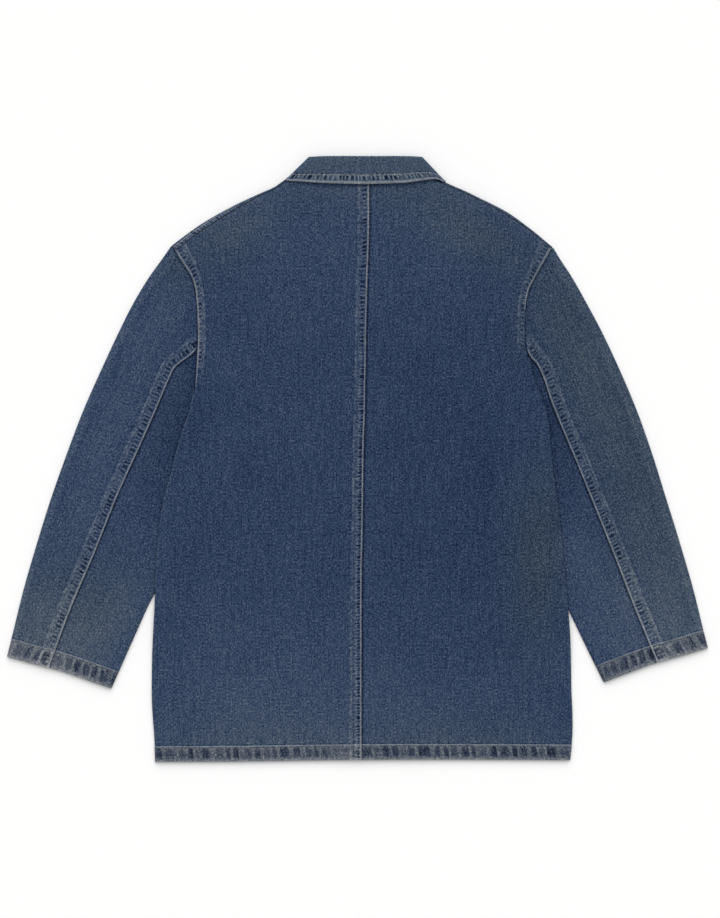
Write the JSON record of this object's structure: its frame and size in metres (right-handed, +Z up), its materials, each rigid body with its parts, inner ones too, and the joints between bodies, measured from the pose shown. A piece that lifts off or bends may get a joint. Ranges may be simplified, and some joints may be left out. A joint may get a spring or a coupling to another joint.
{
  "type": "denim jacket",
  "caption": "Boxy denim work jacket laid flat on its front, with a turned-down collar, a felled seam down the back and long seamed sleeves with turned-up hems.",
  "frame": {"origin": "on the floor, at the middle of the jacket's outline as laid", "axes": "+X to the wearer's right as seen from behind, +Y towards the collar, +Z up from the floor through the back panels"},
  "size_m": [0.897, 0.7754, 0.0102],
  "materials": {
    "denim": "washed twill, matt",
    "button": "satin"
  },
  "bodies": {
    "root": {"back_left": "denim", "back_right": "denim", "front_left": "denim", "front_right": "denim", "sleeve_left_top": "denim", "sleeve_left_under": "denim", "sleeve_right_top": "denim", "sleeve_right_under": "denim", "collar": "denim", "button_1": "button", "button_2": "button", "button_3": "button", "button_4": "button", "button_5": "button"}
  },
  "joints": []
}
